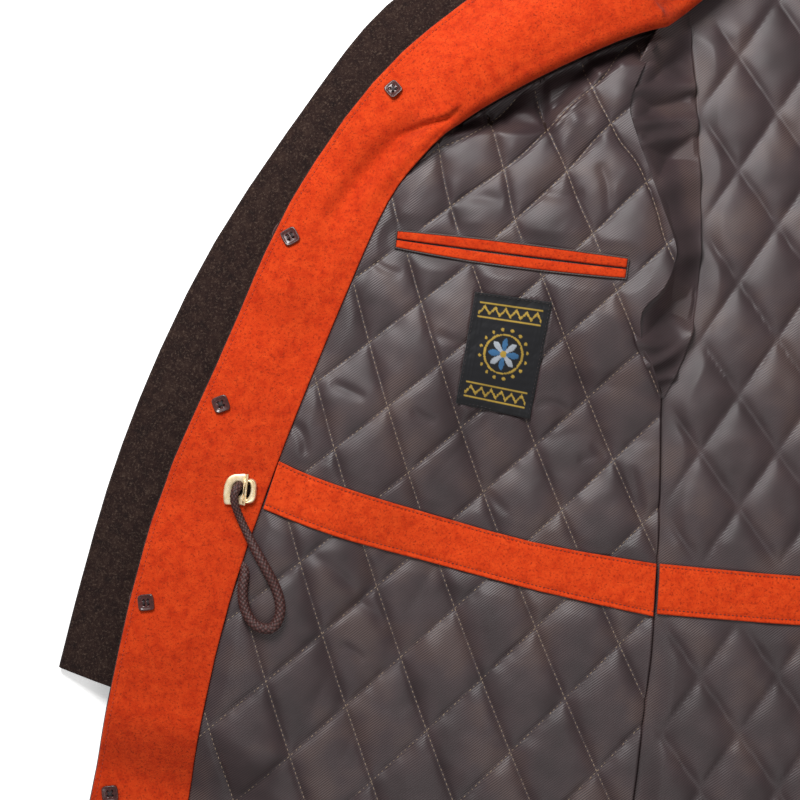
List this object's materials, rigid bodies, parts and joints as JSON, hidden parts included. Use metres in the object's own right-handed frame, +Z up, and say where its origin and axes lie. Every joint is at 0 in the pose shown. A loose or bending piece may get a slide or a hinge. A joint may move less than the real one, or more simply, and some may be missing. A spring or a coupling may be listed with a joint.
{
  "type": "loden coat laid open",
  "caption": "Loden coat laid on its back with one front thrown open, showing the felt facing, quilted lining, inner pocket and waist drawcord.",
  "frame": {"origin": "middle of the underside's box, on the surface that the coat lies on", "axes": "+X across the coat towards the wearer's left, +Y from hem to neck, +Z up from the surface"},
  "size_m": [1.23, 0.997, 0.0443],
  "materials": {
    "loden": "fulled woollen loden, dark brown melange, matte nap",
    "felt": "orange wool felt, melange, matte",
    "lining": "grey-brown satin twill, quilted over wadding",
    "piping": "grey-brown satin piping",
    "label": "woven damask, near black",
    "button": "moulded, brown, semi-gloss",
    "lock_metal": "champagne-coloured plating, semi-gloss",
    "cord": "braided polyester cord, dark brown"
  },
  "bodies": {
    "root": {"right_sleeve_under": "loden", "right_sleeve_upper": "loden", "right_sleeve_lining": "lining", "right_front": "loden", "right_facing": "felt", "right_lining": "lining", "pocket_welt_upper": "felt", "pocket_welt_lower": "felt", "pocket_piping": "piping", "woven_label": "label", "waist_casing_front": "felt", "backing_button_1": "button", "outer_button_1": "button", "backing_button_2": "button", "outer_button_2": "button", "backing_button_3": "button", "outer_button_3": "button", "backing_button_4": "button", "outer_button_4": "button", "backing_button_5": "button", "outer_button_5": "button", "backing_button_6": "button", "outer_button_6": "button", "cord_lock_body": "lock_metal", "cord_lock_thumb": "lock_metal", "drawcord": "cord", "back": "loden", "back_lining": "lining", "waist_casing_back": "felt", "left_sleeve_under": "loden", "left_sleeve_upper": "loden", "left_front": "loden", "collar_outer": "loden", "collar_inner": "felt", "collar_left": "loden"}
  },
  "joints": []
}
